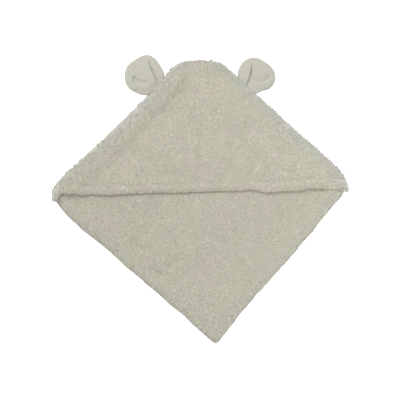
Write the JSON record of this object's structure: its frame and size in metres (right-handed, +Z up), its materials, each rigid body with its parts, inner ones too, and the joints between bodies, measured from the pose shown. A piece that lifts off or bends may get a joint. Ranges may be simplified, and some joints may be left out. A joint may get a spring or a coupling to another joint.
{
  "type": "hooded baby towel",
  "caption": "Square terry baby towel folded in quarters and laid flat, with a sewn three-cornered hood on top and round wadded ears on its crown.",
  "frame": {"origin": "the surface the towel lies on, under the middle of the folded towel with its ears", "axes": "+Z up; +Y from the front corner of the fold towards the hood's crown; +X along the hood's mouth, to the right as seen from above with the crown away from the viewer"},
  "size_m": [0.5358, 0.5137, 0.0268],
  "materials": {
    "terry": "matte",
    "ear_plush": "matte",
    "thread": "satin",
    "wadding": "matte",
    "label": "satin"
  },
  "bodies": {
    "towel_front": {"towel_front_half": "terry", "front_fold_outer": "terry", "front_fold_inner": "terry", "edge_stitching_front": "thread", "hood_panel": "terry", "hood_seam_stitching": "thread", "mouth_hem_left_end": "terry", "mouth_hem_right_end": "terry", "ear_left_root": "ear_plush", "ear_right_root": "ear_plush"},
    "towel_back": {"towel_back_half": "terry", "edge_stitching_back": "thread", "care_label": "label"},
    "hood_mouth": {"mouth_hem_middle": "terry", "mouth_hem_stitching": "thread"},
    "ear_left": {"ear_left_front": "ear_plush", "ear_left_back": "ear_plush", "ear_left_wadding": "wadding", "ear_left_rim_seam": "thread"},
    "ear_right": {"ear_right_front": "ear_plush", "ear_right_back": "ear_plush", "ear_right_wadding": "wadding", "ear_right_rim_seam": "thread"}
  },
  "joints": [
    {"name": "fold_open", "type": "hinge", "parent": "towel_front", "child": "towel_back", "pos_m": [-0.11563, -0.12483, 0.0094], "axis": [-0.7371, 0.6758, 0], "range_deg": [0, 180], "deforming": ["front_fold_outer", "front_fold_inner"]},
    {"name": "hood_mouth_lift", "type": "slide", "parent": "towel_front", "child": "hood_mouth", "axis": [0, 0, 1], "range_m": [0, 0.06], "deforming": ["hood_panel"]},
    {"name": "ear_left_flap", "type": "hinge", "parent": "towel_front", "child": "ear_left", "pos_m": [-0.0805, 0.201, 0.024], "axis": [0.7071, 0.7071, 0], "range_deg": [-10, 110], "stiffness_Nm_per_rad": 0.03},
    {"name": "ear_right_flap", "type": "hinge", "parent": "towel_front", "child": "ear_right", "pos_m": [0.083, 0.2005, 0.024], "axis": [0.7431, -0.6691, 0], "range_deg": [-10, 110], "stiffness_Nm_per_rad": 0.03}
  ]
}
